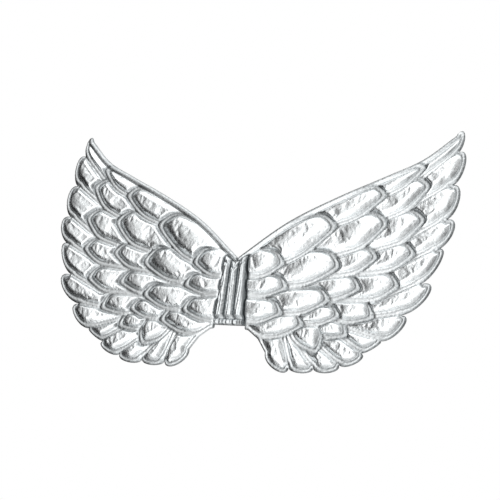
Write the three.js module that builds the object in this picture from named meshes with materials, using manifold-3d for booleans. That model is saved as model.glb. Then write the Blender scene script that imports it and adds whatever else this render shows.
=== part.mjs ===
// Costume wings: two padded panels of silver metallic cloth, pressed into overlapping feathers,
// joined by a ribbed band and worn on the back by two elastic arm loops.
// Millimetres, +Z up. The feathered face looks along -Y and the plain back faces +Y.
// The origin is the middle of the band's flat back, where it lies between the shoulder blades.
import * as THREE from "three";
import { TessellateModifier } from "three/addons/modifiers/TessellateModifier.js";
import { mergeVertices } from "three/addons/utils/BufferGeometryUtils.js";
import Module from "manifold-3d";

const wasm = await Module();
wasm.setup();

// Clearance between pieces that are sewn together on the real thing.
const SEAM_GAP = 0.3;
const MERGE_DISTANCE = 1e-4;

// Wing panel: cloth, foam and cloth, pressed thin along the rim and the grooves.
const PANEL_THICKNESS = 2.4;
const RIM_WIDTH = 3.6;
const GROOVE_HALF_WIDTH = 1.5;
const LOBE_FULLNESS = 0.06;
const OUTLINE_SEGMENTS = 5;
const EDGE_ROLL_INSET = 4;
const EDGE_ROLL_HALF_WIDTH = 2.6;
const EDGE_ROLL_RISE = 3;
const EDGE_ROLL_SIDES = 8;
const EDGE_ROLL_STEPS = 16;

// Feather pads: each rises from a low root, tucked under the row before it, to a rounded tip.
const PAD_LOW_RISE = 2.6;
const PAD_RISE_PER_WIDTH = 0.13;
const PAD_ROOT_SHARE = 0.3;
const PAD_BURIED = 1;
const ROOT_TUCK = 12;
const LEAF_ROOT_SHARE = 0.56;
const LEAF_LENGTH_POWER = 0.75;
const LEAF_WIDTH_POWER = 0.85;
const LEAF_SIDES = 12;

// Section of a pad from its middle out: how far out, and what share of the rise.
const PAD_PROFILE = [
  [0, 0],
  [1, 0],
  [0.9, 0.55],
  [0.62, 0.9],
  [0, 1],
];

// How the wings stand away from a flat plane, per 100 mm outwards and per 100 mm upwards.
const SWEEP_FORWARD = 4;
const SWEEP_EASE = 1.6;
const CUP_FORWARD = 4;
const TIP_TWIST = 3;
const BEND_UNIT = 100;
const BEND_EDGE_LENGTH = 38;
const BEND_SPLITS = 16;

// Centre band, gathered into upright ribs between a straight bottom hem and a notched top one,
// which lies just under the two wings' rims.
const BAND_DROP = 33;
const BAND_NOTCH_HEIGHT = 28.5;
const BAND_CORNER_HEIGHT = 36.5;
const BAND_TRIM = 2;
const BAND_TOP_WIDTH = 26;
const BAND_BOTTOM_WIDTH = 35;
const BAND_RIBS = 3;
const BAND_BASE_DEPTH = 3.2;
const BAND_RIB_DEPTH = 5.2;
const CUT_DEPTH = 30;
const CUT_REACH = 66;
const BAND_HEM_HEIGHT = 6;
const BAND_HEM_SHARE = 0.55;
const BAND_STEPS = 11;
const RIB_SEGMENTS = 4;

// Elastic arm loops.
const STRAP_WIDTH = 10;
const STRAP_THICKNESS = 1.2;
const STRAP_STEPS = 44;

// Feathers of the right wing, where each cell's visible root and tip lie on the flat panel.
const FEATHER_COLUMNS = ["rootX", "rootZ", "tipX", "tipZ", "width"];

// Coverts, row by row from the leading edge down.
const COVERT_ROWS = [
  [12, 29, 51, 27, 24],
  [20, 40, 102, 64, 36],
  [90, 79, 150, 97, 26],
  [140, 106, 186, 125, 21],
  [13, 8, 58, 5, 18],
  [50, 24, 112, 26, 30],
  [105, 55, 157, 68, 30],
  [150, 88, 195, 106, 26],
  [14, -17, 53, -20, 18],
  [112, 30, 152, 36, 20],
  [152, 60, 196, 72, 26],
  [47, -9, 106, -6, 21],
  [90, 7, 138, 6, 20],
  [150, 35, 191, 40, 22],
  [20, -30, 79, -28, 16],
  [138, 8, 179, 9, 22],
  [78, -21, 120, -20, 15],
  [112, -10, 156, -21, 21],
  [88, -27, 128, -37, 15],
  [82, -27, 101, -54, 25],
];

// Flight feathers, round the edge from the wing tip to the inner corner, each with the notch after it.
const FLIGHT_COLUMNS = [...FEATHER_COLUMNS, "notchX", "notchZ"];
const FLIGHT_ROWS = [
  [178, 122, 221, 160, 19, 219, 142],
  [186, 102, 228, 128, 27, 217, 108],
  [190, 73, 229, 96, 25, 217, 74],
  [188, 46, 229, 65, 24, 213, 45],
  [178, 17, 221, 36, 23, 203, 13],
  [150, -7, 213, 2, 24, 187, -17],
  [150, -20, 190, -30, 23, 168, -42],
  [125, -27, 164, -48, 19, 150, -54],
  [108, -40, 145, -64, 21, 127, -66],
  [102, -44, 116, -74, 26, 99, -70],
  [78, -47, 86, -75.5, 26, 72, -70],
  [48, -40, 57.5, -74, 30, 44, -58],
];

// Smooth edges of the panel where no feather tip reaches it.
const EDGE_COLUMNS = ["x", "z"];
const LEADING_EDGE_ROWS = [
  [0, 34],
  [50, 71],
  [100, 97],
  [150, 119],
  [184, 135],
  [213, 158.5],
];
const INNER_EDGE_ROWS = [
  [34, -45],
  [22, -37],
  [0, -33],
];

// Centre line of the right arm's loop, from its upper sewn end to its lower one.
const STRAP_COLUMNS = ["x", "y", "z"];
const STRAP_ROWS = [
  [6.4, 0.9, 6],
  [6.4, 0.9, 16],
  [11, 3.4, 24],
  [29, 14, 37],
  [51, 38, 49],
  [67, 68, 53],
  [76, 97, 44],
  [79, 111, 23],
  [77, 104, 1],
  [69, 82, -14.5],
  [50, 48, -22.5],
  [27, 17, -26],
  [13, 4.2, -23.5],
  [8, 0.9, -15],
  [8, 0.9, -4],
];

const SILVER = new THREE.MeshStandardMaterial({ color: 0xc9cdcf, roughness: 0.32, metalness: 0.9 });
const BAND_SILVER = new THREE.MeshStandardMaterial({ color: 0xb9bec0, roughness: 0.36, metalness: 0.9 });
const WHITE_ELASTIC = new THREE.MeshStandardMaterial({ color: 0xf1f1ef, roughness: 0.85, metalness: 0 });

// Rows of a table as objects with the table's column names.
function named(columns, rows) {
  return rows.map((row) => Object.fromEntries(columns.map((column, i) => [column, row[i]])));
}

// A closed geometry as a solid that can be joined and cut.
function solidOf(geometry) {
  const bare = new THREE.BufferGeometry().setAttribute("position", geometry.getAttribute("position"));
  bare.setIndex(geometry.index);
  const merged = mergeVertices(bare, MERGE_DISTANCE);
  const corners = merged.index.array;
  const triVerts = [];
  for (let i = 0; i < corners.length; i += 3) {
    const [a, b, c] = corners.slice(i, i + 3);
    if (a !== b && b !== c && c !== a) triVerts.push(a, b, c);
  }
  const vertProperties = merged.getAttribute("position").array;
  return new wasm.Manifold(
    new wasm.Mesh({ numProp: 3, vertProperties, triVerts: new Uint32Array(triVerts) }),
  );
}

function geometryOf(solid) {
  const { vertProperties, triVerts } = solid.getMesh();
  const geometry = new THREE.BufferGeometry();
  geometry.setAttribute("position", new THREE.BufferAttribute(vertProperties, 3));
  geometry.setIndex(new THREE.BufferAttribute(triVerts, 1));
  return geometry;
}

// A feather cell's own axes on the flat panel, its root carried back under the row before it.
function leafFrame({ rootX, rootZ, tipX, tipZ, width }) {
  const tip = new THREE.Vector2(tipX, tipZ);
  const along = tip.clone().sub(new THREE.Vector2(rootX, rootZ)).normalize();
  const root = new THREE.Vector2(rootX, rootZ).addScaledVector(along, -ROOT_TUCK);
  return {
    along,
    across: new THREE.Vector2(-along.y, along.x),
    middle: root.clone().add(tip).multiplyScalar(0.5),
    halfLength: root.distanceTo(tip) / 2,
    halfWidth: width / 2,
  };
}

// Point of the leaf at an angle round its middle, with its share of the way from root to tip.
function leafPoint(leaf, angle, reach, inset) {
  const bend = (value, power) => Math.sign(value) * Math.abs(value) ** power;
  const along = bend(Math.cos(angle), LEAF_LENGTH_POWER) * reach;
  const across = bend(Math.sin(angle), LEAF_WIDTH_POWER) * reach;
  const tipShare = (1 + along) / 2;
  const taper = THREE.MathUtils.lerp(LEAF_ROOT_SHARE, 1, tipShare);
  const point = leaf.middle
    .clone()
    .addScaledVector(leaf.along, along * (leaf.halfLength - inset))
    .addScaledVector(leaf.across, across * taper * (leaf.halfWidth - inset));
  return { point, tipShare };
}

// A flat plate with its back at Y = 0, from an outline drawn in X and Z.
function plate(shape, thickness) {
  const geometry = new THREE.ExtrudeGeometry(shape, {
    depth: thickness,
    bevelEnabled: false,
    curveSegments: OUTLINE_SEGMENTS,
  });
  return geometry.rotateX(Math.PI / 2);
}

// A closed skin over a row of rings with the same number of corners, capped at both ends.
function tubeOf(rings) {
  const sides = rings[0].length;
  const faces = [];
  for (let ring = 0; ring < rings.length - 1; ring += 1) {
    for (let side = 0; side < sides; side += 1) {
      const near = ring * sides + side;
      const next = ring * sides + ((side + 1) % sides);
      faces.push(near, next, next + sides, near, next + sides, near + sides);
    }
  }
  const last = (rings.length - 1) * sides;
  for (let side = 1; side < sides - 1; side += 1) {
    faces.push(0, side + 1, side, last, last + side, last + side + 1);
  }
  return new THREE.BufferGeometry().setFromPoints(rings.flat()).setIndex(faces);
}

// The raised pad of one feather: a turned cushion pressed into the leaf's outline.
function leafPad(feather, inset) {
  const leaf = leafFrame(feather);
  const rise = PAD_LOW_RISE + PAD_RISE_PER_WIDTH * feather.width;
  const profile = PAD_PROFILE.map(([reach, share]) => new THREE.Vector2(reach, share));
  const geometry = new THREE.LatheGeometry(profile, LEAF_SIDES);
  const position = geometry.getAttribute("position");
  for (let i = 0; i < position.count; i += 1) {
    const reach = Math.hypot(position.getX(i), position.getZ(i));
    const angle = Math.atan2(-position.getZ(i), position.getX(i));
    const share = position.getY(i);
    const { point, tipShare } = leafPoint(leaf, angle, reach, inset);
    const tilt = THREE.MathUtils.lerp(PAD_ROOT_SHARE, 1, tipShare);
    const height = share === 0 ? -PAD_BURIED : share * rise * tilt;
    position.setXYZ(i, point.x, -(PANEL_THICKNESS + height), point.y);
  }
  return geometry;
}

function edgePoints(rows) {
  return named(EDGE_COLUMNS, rows).map(({ x, z }) => new THREE.Vector2(x, z));
}

// A rounded lobe from the notch before a feather, over its tip, to the notch after it.
// A cubic's middle lies three quarters of the way to its handles, so they reach 4/3 of the way.
function addLobe(shape, { tipX, tipZ, notchX, notchZ }) {
  const from = shape.currentPoint.clone();
  const to = new THREE.Vector2(notchX, notchZ);
  const middle = from.clone().add(to).multiplyScalar(0.5);
  const reach = new THREE.Vector2(tipX, tipZ).sub(middle).multiplyScalar(4 / 3);
  const spread = from.clone().sub(to).multiplyScalar(LOBE_FULLNESS);
  const first = from.clone().add(reach).add(spread);
  const second = to.clone().add(reach).sub(spread);
  shape.bezierCurveTo(first.x, first.y, second.x, second.y, to.x, to.y);
}

// The pressed panel: up the leading edge, round the flight feathers' lobes and back inside.
function panelPlate(flights) {
  const shape = new THREE.Shape();
  const leading = edgePoints(LEADING_EDGE_ROWS);
  shape.moveTo(leading[0].x, leading[0].y);
  shape.splineThru(leading.slice(1));
  for (const flight of flights) addLobe(shape, flight);
  for (const corner of edgePoints(INNER_EDGE_ROWS)) shape.lineTo(corner.x, corner.y);
  shape.closePath();
  return plate(shape, PANEL_THICKNESS);
}

// The thin roll along the leading edge, set in from it by the pressed rim.
function edgeRoll() {
  const edge = new THREE.SplineCurve(edgePoints(LEADING_EDGE_ROWS));
  const section = [];
  for (let side = 0; side < EDGE_ROLL_SIDES; side += 1) {
    const angle = (-2 * Math.PI * side) / EDGE_ROLL_SIDES;
    section.push([Math.cos(angle) * EDGE_ROLL_HALF_WIDTH, Math.sin(angle) * EDGE_ROLL_RISE]);
  }
  const rings = [];
  for (let step = 0; step <= EDGE_ROLL_STEPS; step += 1) {
    const share = step / EDGE_ROLL_STEPS;
    const heading = edge.getTangentAt(share);
    const inward = new THREE.Vector2(heading.y, -heading.x);
    const place = edge.getPointAt(share).addScaledVector(inward, EDGE_ROLL_INSET);
    const ring = section.map(([across, up]) => {
      const point = place.clone().addScaledVector(inward, across);
      return new THREE.Vector3(point.x, -(PANEL_THICKNESS + Math.max(up, -PAD_BURIED)), point.y);
    });
    rings.push(ring);
  }
  return tubeOf(rings);
}

function bandHalfWidth(z) {
  const share = (z + BAND_DROP) / (2 * BAND_DROP);
  return THREE.MathUtils.lerp(BAND_BOTTOM_WIDTH, BAND_TOP_WIDTH, share) / 2;
}

// Height of the band's notched top.
function notchTop(x) {
  const share = Math.abs(x) / bandHalfWidth(BAND_CORNER_HEIGHT);
  return THREE.MathUtils.lerp(BAND_NOTCH_HEIGHT, BAND_CORNER_HEIGHT, share);
}

// A solid that cuts the outline right through.
function cutterOf(corners) {
  const shape = new THREE.Shape(corners.map(([x, z]) => new THREE.Vector2(x, z)));
  return solidOf(plate(shape, CUT_DEPTH).translate(0, CUT_DEPTH / 2, 0));
}

// The room that the band and the other wing take up, let out by the seam gap.
function bandClearance() {
  return cutterOf([
    [-CUT_REACH, -CUT_REACH],
    [bandHalfWidth(-CUT_REACH) + SEAM_GAP, -CUT_REACH],
    [bandHalfWidth(BAND_CORNER_HEIGHT) + SEAM_GAP, BAND_CORNER_HEIGHT + SEAM_GAP],
    [SEAM_GAP / 2, BAND_NOTCH_HEIGHT + SEAM_GAP],
    [SEAM_GAP / 2, CUT_REACH],
    [-CUT_REACH, CUT_REACH],
  ]);
}

// The notch in the band's top.
function bandNotch() {
  return cutterOf([
    [0, BAND_NOTCH_HEIGHT],
    [CUT_REACH, notchTop(CUT_REACH)],
    [-CUT_REACH, notchTop(CUT_REACH)],
  ]);
}

// How far towards +Y the panel stands at a place on its flat pattern.
function forward(x, z) {
  const out = x / BEND_UNIT;
  const up = z / BEND_UNIT;
  return SWEEP_FORWARD * out - SWEEP_EASE * out ** 2 + CUP_FORWARD * up ** 2 + TIP_TWIST * out * up;
}

function bent(geometry) {
  const split = new TessellateModifier(BEND_EDGE_LENGTH, BEND_SPLITS).modify(geometry);
  const position = split.getAttribute("position");
  for (let i = 0; i < position.count; i += 1) {
    position.setY(i, position.getY(i) + forward(position.getX(i), position.getZ(i)));
  }
  return mergeVertices(split, MERGE_DISTANCE);
}

function rightWing() {
  const coverts = named(FEATHER_COLUMNS, COVERT_ROWS);
  const flights = named(FLIGHT_COLUMNS, FLIGHT_ROWS);
  const pieces = [
    edgeRoll(),
    ...coverts.map((feather) => leafPad(feather, GROOVE_HALF_WIDTH)),
    ...flights.map((feather) => leafPad(feather, RIM_WIDTH)),
  ];
  const whole = pieces.reduce((sum, piece) => sum.add(solidOf(piece)), solidOf(panelPlate(flights)));
  return bent(geometryOf(whole.subtract(bandClearance())));
}

function centreBand() {
  const rib = 1 / BAND_RIBS;
  const section = new THREE.Shape();
  section.moveTo(-1, 0);
  section.lineTo(1, 0);
  section.lineTo(1, -BAND_BASE_DEPTH);
  for (let i = 0; i < BAND_RIBS; i += 1) {
    const middle = 1 - rib * (2 * i + 1);
    section.absellipse(middle, -BAND_BASE_DEPTH, rib, BAND_RIB_DEPTH, 0, -Math.PI, true);
  }
  section.closePath();
  const geometry = new THREE.ExtrudeGeometry(section, {
    depth: BAND_DROP + BAND_CORNER_HEIGHT + BAND_TRIM,
    steps: BAND_STEPS,
    curveSegments: RIB_SEGMENTS,
    bevelEnabled: false,
  });
  geometry.translate(0, 0, -BAND_DROP);
  const position = geometry.getAttribute("position");
  for (let i = 0; i < position.count; i += 1) {
    const z = position.getZ(i);
    const x = position.getX(i) * bandHalfWidth(z);
    const fromEnd = Math.min(z + BAND_DROP, notchTop(x) - z);
    const full = THREE.MathUtils.smoothstep(fromEnd, BAND_HEM_HEIGHT, 2 * BAND_HEM_HEIGHT);
    const depth = THREE.MathUtils.lerp(BAND_HEM_SHARE, 1, full);
    position.setXYZ(i, x, position.getY(i) * depth, z);
  }
  return geometryOf(solidOf(geometry).subtract(bandNotch()));
}

// A flat ribbon along the loop, its width kept as near to sideways as the route allows.
function rightStrap() {
  const route = named(STRAP_COLUMNS, STRAP_ROWS).map(({ x, y, z }) => new THREE.Vector3(x, y, z));
  const curve = new THREE.CatmullRomCurve3(route, false, "centripetal");
  const sideways = new THREE.Vector3(1, 0, 0);
  const rings = [];
  for (let step = 0; step <= STRAP_STEPS; step += 1) {
    const share = step / STRAP_STEPS;
    const centre = curve.getPointAt(share);
    const heading = curve.getTangentAt(share);
    const wide = sideways.clone().addScaledVector(heading, -sideways.dot(heading)).normalize();
    const thick = heading.clone().cross(wide);
    const ring = [[-1, -1], [1, -1], [1, 1], [-1, 1]].map(([w, t]) =>
      centre
        .clone()
        .addScaledVector(wide, (w * STRAP_WIDTH) / 2)
        .addScaledVector(thick, (t * STRAP_THICKNESS) / 2),
    );
    rings.push(ring);
  }
  return tubeOf(rings);
}

// The same geometry for the left side, with its faces turned back outwards.
function mirrored(geometry) {
  const other = geometry.clone().scale(-1, 1, 1);
  const corners = Array.from(other.index.array);
  for (let i = 0; i < corners.length; i += 3) {
    [corners[i + 1], corners[i + 2]] = [corners[i + 2], corners[i + 1]];
  }
  return other.setIndex(corners);
}

function pieceMesh(name, geometry, material) {
  geometry.computeVertexNormals();
  const mesh = new THREE.Mesh(geometry, material);
  mesh.name = name;
  return mesh;
}

const wing = rightWing();
const strap = rightStrap();
const wings = new THREE.Group();
wings.add(pieceMesh("right_wing", wing, SILVER));
wings.add(pieceMesh("left_wing", mirrored(wing), SILVER));
wings.add(pieceMesh("centre_band", centreBand(), BAND_SILVER));
wings.add(pieceMesh("right_strap", strap, WHITE_ELASTIC));
wings.add(pieceMesh("left_strap", mirrored(strap), WHITE_ELASTIC));

export default wings;
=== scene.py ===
# %% [markdown]
# Costume wings: two padded panels of silver metallic cloth, pressed into overlapping feathers, with a
# gathered band between them and two white elastic arm loops behind. The solids that were packed before
# are loaded as a fixed frame, and every soft piece below is modelled in the place of one of them.

# %% Load the frame
import math

import bpy
import numpy as np
from mathutils import Matrix, Vector


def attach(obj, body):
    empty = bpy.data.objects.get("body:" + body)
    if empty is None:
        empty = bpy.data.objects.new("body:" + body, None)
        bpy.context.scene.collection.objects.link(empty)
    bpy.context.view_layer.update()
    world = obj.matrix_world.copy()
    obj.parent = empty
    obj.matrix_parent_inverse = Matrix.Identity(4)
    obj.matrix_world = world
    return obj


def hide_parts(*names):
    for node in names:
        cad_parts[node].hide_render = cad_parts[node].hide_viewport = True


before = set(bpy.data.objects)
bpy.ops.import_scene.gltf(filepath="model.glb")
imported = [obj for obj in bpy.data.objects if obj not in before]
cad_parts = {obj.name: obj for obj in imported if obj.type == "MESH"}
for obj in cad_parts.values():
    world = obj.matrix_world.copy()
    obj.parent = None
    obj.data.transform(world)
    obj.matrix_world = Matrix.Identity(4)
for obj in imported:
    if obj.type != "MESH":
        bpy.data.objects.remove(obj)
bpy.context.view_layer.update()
MM = 0.001

# %% [markdown]
# A wing is planned flat, as its cutter draws it: each feather is a tongue with a root, a rounded tip and
# a width. Coverts lie in rows from the leading edge down, each over the one after it. Flight feathers go
# round the edge, and each ends in a lobe of the outline, with a notch after it.

# %% Feathers of the right wing
FEATHER_COLUMNS = ("root_x", "root_z", "tip_x", "tip_z", "width")
COVERT_ROWS = (
    (12, 29, 51, 27, 24),
    (20, 40, 102, 64, 36),
    (90, 79, 150, 97, 26),
    (140, 106, 186, 125, 21),
    (13, 8, 58, 5, 18),
    (50, 24, 112, 26, 30),
    (105, 55, 157, 68, 30),
    (150, 88, 195, 106, 26),
    (14, -17, 56, -20, 20),
    (112, 30, 152, 36, 20),
    (152, 60, 196, 72, 26),
    (47, -9, 106, -6, 21),
    (90, 7, 138, 6, 20),
    (150, 35, 191, 40, 22),
    (16, -31, 81, -31, 22),
    (138, 8, 179, 9, 22),
    (78, -21, 120, -20, 15),
    (112, -10, 156, -21, 21),
    (77, -24, 99, -56, 25),
    (86, -26, 131, -38, 15),
)
FLIGHT_COLUMNS = FEATHER_COLUMNS + ("notch_x", "notch_z")
FLIGHT_ROWS = (
    (178, 122, 221, 160, 19, 219, 142),
    (186, 102, 228, 128, 27, 217, 108),
    (190, 73, 229, 96, 25, 217, 74),
    (188, 46, 229, 65, 24, 213, 45),
    (178, 17, 221, 36, 23, 203, 13),
    (150, -7, 213, 2, 24, 187, -17),
    (150, -20, 190, -30, 23, 168, -42),
    (125, -27, 164, -48, 19, 150, -54),
    (108, -40, 145, -64, 21, 127, -66),
    (94, -52, 116, -74, 24, 99, -70),
    (75, -46, 86, -75.5, 24, 72, -70),
    (36, -40, 57.5, -74, 26, 44, -58),
)


def named(columns, rows):
    """Rows of a table in millimetres as dictionaries in metres."""
    return [dict(zip(columns, (value * MM for value in row))) for row in rows]


coverts = named(FEATHER_COLUMNS, COVERT_ROWS)
flights = named(FLIGHT_COLUMNS, FLIGHT_ROWS)
print("feathers in a wing:", len(coverts) + len(flights))

# %% [markdown]
# The outline runs up the smooth leading edge, round the lobes of the flight feathers, and back along the
# seam beside the band. A few points and curves are enough: a spline through given points for the
# leading edge, and one cubic curve for each lobe, whose middle is the feather's tip.

# %% Curves of the outline
LOBE_FULLNESS = 0.06


def spline_through(points, steps, power=0.5):
    """A smooth line through points, whose knots are spaced by a power of the distance."""
    points = np.asarray(points, float)
    ends = np.vstack([2 * points[0] - points[1], points, 2 * points[-1] - points[-2]])
    share = np.linspace(0, 1, steps, endpoint=False)[:, None]
    line = []
    for before, start, end, after in zip(ends, ends[1:], ends[2:], ends[3:]):
        near, span, far = (
            np.linalg.norm(b - a) ** power for a, b in ((before, start), (start, end), (end, after))
        )
        leave = ((start - before) / near - (end - before) / (near + span) + (end - start) / span) * span
        arrive = ((end - start) / span - (after - start) / (span + far) + (after - end) / far) * span
        line.append(
            start * (2 * share**3 - 3 * share**2 + 1)
            + leave * (share**3 - 2 * share**2 + share)
            + end * (3 * share**2 - 2 * share**3)
            + arrive * (share**3 - share**2)
        )
    return np.vstack([*line, points[-1:]])


def lobe(start, flight, steps):
    """A rounded lobe from the notch before a feather, over its tip, to the notch after it."""
    tip = np.array([flight["tip_x"], flight["tip_z"]])
    end = np.array([flight["notch_x"], flight["notch_z"]])
    # The middle of a cubic curve goes three quarters of the way to its handles.
    reach = (tip - (start + end) / 2) * 4 / 3
    spread = (start - end) * LOBE_FULLNESS
    share = np.linspace(0, 1, steps + 1)[1:, None]
    rest = 1 - share
    return (
        start * rest**3
        + 3 * (start + reach + spread) * rest**2 * share
        + 3 * (end + reach - spread) * rest * share**2
        + end * share**3
    )


# %% Outline of the right wing
LEADING_POINTS = np.array([(0.15, 34.1), (50, 71), (100, 97), (150, 119), (184, 135), (213, 158.5)]) * MM
INNER_EDGE = np.array([(34, -45), (22, -37), (18, -36.3)]) * MM
BAND_SEAM = np.array([(18, -36.3), (13.1, 36.8), (0.15, 28.8), (0.15, 34.1)]) * MM
CURVE_STEPS = 14

leading_edge = spline_through(LEADING_POINTS, CURVE_STEPS, power=0)
lobes = []
notch = leading_edge[-1]
for flight in flights:
    lobes.append(lobe(notch, flight, CURVE_STEPS))
    notch = lobes[-1][-1]
wing_edge = np.vstack([leading_edge, *lobes, INNER_EDGE])
wing_outline = np.vstack([wing_edge, BAND_SEAM[1:-1]])
print("outline:", len(wing_outline), "points,", np.round(np.ptp(wing_outline, axis=0) / MM), "mm")

# %% [markdown]
# The cloth starts as a flat grid, cut to the outline. Points outside are deleted and the new border is
# drawn onto the outline, so the grid stays even where the feathers will rise. A Solidify modifier later
# adds the back cloth. Filling the outline with one face would leave nothing to shape.

# %% Measure against an outline
SHORTEST_SQUARED = 1e-12


def distance_to(line, x, z):
    """Distance from places on the panel to a line of points, and the nearest place on it."""
    best = np.full(len(x), np.inf)
    nearest = np.zeros((len(x), 2))
    places = np.column_stack([x, z])
    for start, end in zip(line, line[1:]):
        side = end - start
        share = np.clip((places - start) @ side / max(side @ side, SHORTEST_SQUARED), 0, 1)
        foot = start + share[:, None] * side
        gap = np.linalg.norm(places - foot, axis=1)
        closer = gap < best
        best[closer] = gap[closer]
        nearest[closer] = foot[closer]
    return best, nearest


def inside(outline, x, z):
    """Which places lie inside a closed outline, by counting the edges to one side of each."""
    odd = np.zeros(len(x), bool)
    for start, end in zip(outline, np.roll(outline, -1, axis=0)):
        crosses = (start[1] > z) != (end[1] > z)
        with np.errstate(divide="ignore", invalid="ignore"):
            at = start[0] + (z - start[1]) * (end[0] - start[0]) / (end[1] - start[1])
        odd ^= crosses & (x < at)
    return odd


# %% Points and selections
def points_of(piece):
    places = np.zeros(len(piece.data.vertices) * 3, np.float32)
    piece.data.vertices.foreach_get("co", places)
    return places.reshape(-1, 3).astype(float)


def set_points(piece, places):
    piece.data.vertices.foreach_set("co", np.asarray(places, np.float32).ravel())
    piece.data.update()


def select_only(piece):
    bpy.ops.object.select_all(action="DESELECT")
    piece.select_set(True)
    bpy.context.view_layer.objects.active = piece


def edit_marked(piece, marked):
    """Opens a piece in edit mode with only the marked points selected."""
    select_only(piece)
    bpy.ops.object.mode_set(mode="EDIT")
    bpy.ops.mesh.select_mode(type="VERT")
    bpy.ops.mesh.select_all(action="DESELECT")
    bpy.ops.object.mode_set(mode="OBJECT")
    piece.data.vertices.foreach_set("select", marked)
    bpy.ops.object.mode_set(mode="EDIT")


# %% Trim and even out a sheet
MERGE_DISTANCE = 0.2 * MM
EVEN_OUT_SHARE = 0.5
EVEN_OUT_STEPS = 8


def delete_points(piece, doomed):
    """Deletes the marked points, and what is left loose."""
    edit_marked(piece, doomed)
    bpy.ops.mesh.delete(type="VERT")
    bpy.ops.mesh.delete_loose()
    bpy.ops.object.mode_set(mode="OBJECT")


def merge_close_points(piece):
    """Joins points that fell together, because cloth can't have edges of no length."""
    edit_marked(piece, np.ones(len(piece.data.vertices), bool))
    bpy.ops.mesh.remove_doubles(threshold=MERGE_DISTANCE)
    bpy.ops.mesh.delete_loose()
    bpy.ops.object.mode_set(mode="OBJECT")


def even_out(piece, free):
    """Relaxes the marked points between their neighbours, so that no row beside the border is ragged."""
    edit_marked(piece, free)
    bpy.ops.mesh.vertices_smooth(factor=EVEN_OUT_SHARE, repeat=EVEN_OUT_STEPS)
    bpy.ops.object.mode_set(mode="OBJECT")


def border_of(piece):
    """Marks the points on edges that have one face only."""
    count = np.zeros(len(piece.data.edges), int)
    edges = np.zeros(len(piece.data.loops), int)
    piece.data.loops.foreach_get("edge_index", edges)
    np.add.at(count, edges, 1)
    ends = np.zeros(len(piece.data.edges) * 2, int)
    piece.data.edges.foreach_get("vertices", ends)
    on_border = np.zeros(len(piece.data.vertices), bool)
    on_border[ends.reshape(-1, 2)[count == 1].ravel()] = True
    return on_border


# %% Sheet of the right wing
SHEET_SPACING = 0.9 * MM


def cut_sheet(name, outline, spacing):
    """A flat grid in X and Z that faces -Y, cut to a closed outline."""
    low, high = outline.min(axis=0), outline.max(axis=0)
    middle, size = (low + high) / 2, high - low
    columns, rows = np.ceil(size / spacing).astype(int)
    bpy.ops.object.select_all(action="DESELECT")
    bpy.ops.mesh.primitive_grid_add(
        x_subdivisions=int(columns),
        y_subdivisions=int(rows),
        size=1,
        location=(middle[0], 0, middle[1]),
        rotation=(math.pi / 2, 0, 0),
    )
    sheet = bpy.context.object
    sheet.name = name
    sheet.scale = (size[0], size[1], 1)
    bpy.ops.object.transform_apply()
    places = points_of(sheet)
    delete_points(sheet, ~inside(outline, places[:, 0], places[:, 2]))
    places = points_of(sheet)
    border = border_of(sheet)
    closed = np.vstack([outline, outline[:1]])
    _, nearest = distance_to(closed, places[border, 0], places[border, 2])
    places[border, 0] = nearest[:, 0]
    places[border, 2] = nearest[:, 1]
    set_points(sheet, places)
    merge_close_points(sheet)
    even_out(sheet, ~border_of(sheet))
    print(name, "sheet:", len(sheet.data.polygons), "faces")
    return sheet


right_wing = cut_sheet("right_wing_cloth", wing_outline, SHEET_SPACING)

# %% [markdown]
# Each feather is a soft pad with a slanting tip: its upper side runs on, and its lower side tapers to meet
# it. A flat pressed strip follows its lower side and its tip, and it lies over the feathers after it, as
# roof tiles do. Pads could be modelled one by one and joined, but their hidden roots would have to be cut
# away. Here the height of the cloth is worked out for each point of the sheet: feathers are laid from the
# undermost to the topmost, so only the parts that show are left.

# %% Sides of a feather
STRIP_WIDTH = 4 * MM
UPPER_STRIP_SHARE = 0.15
CORNER_SHARE = 0.1


def soft_least(gaps, corner):
    """The least of several distances, with the corners between them rounded."""
    least = np.minimum.reduce(gaps)
    crowd = sum(np.exp((least - gap) / corner) for gap in gaps)
    return least - corner * np.log(crowd)


def along_and_across(feather, x, z):
    """A feather's length, and places measured along it from its root and upwards across it."""
    run = np.array([feather["tip_x"] - feather["root_x"], feather["tip_z"] - feather["root_z"]])
    length = np.hypot(*run)
    heading = run / length
    right, up = x - feather["root_x"], z - feather["root_z"]
    return length, right * heading[0] + up * heading[1], up * heading[0] - right * heading[1]


def with_strip(open_sides, upper_side, corner):
    """Depths inside a pad and inside the strip beside it, from the gaps to the pad's sides."""
    strip = [gap + STRIP_WIDTH for gap in open_sides] + [upper_side + UPPER_STRIP_SHARE * STRIP_WIDTH]
    return soft_least([*open_sides, upper_side], corner), soft_least(strip, corner)


# %% Shapes of coverts and flight feathers
WIDTH_SPREAD = 1.1
LOWER_TAPER = math.radians(26)
SHORT_TAPER = math.radians(58)
UPPER_TAPER = math.radians(52)
UPPER_TIP_SHARE = 0.24
TIP_INSET = 4.5 * MM
UPPER_SPREAD = 3 * MM
ROOT_TUCK = 26 * MM
UPPER_TUCK = 5 * MM


def covert_depths(feather, x, z, from_rim):
    """Depths inside a covert's pad and strip, below zero outside them."""
    length, along, across = along_and_across(feather, x, z)
    width = feather["width"]
    half = width / 2 * WIDTH_SPREAD - STRIP_WIDTH / 2
    taper = max(LOWER_TAPER, SHORT_TAPER * width / length)
    to_tip = length - TIP_INSET - along
    upper_cut = UPPER_TIP_SHARE * width - across
    open_sides = [
        along + ROOT_TUCK,
        half + across,
        to_tip * math.sin(taper) + across * math.cos(taper),
        to_tip * math.sin(UPPER_TAPER) + upper_cut * math.cos(UPPER_TAPER),
        from_rim - STRIP_WIDTH,
    ]
    return with_strip(open_sides, half + UPPER_SPREAD - across, CORNER_SHARE * width)


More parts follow.
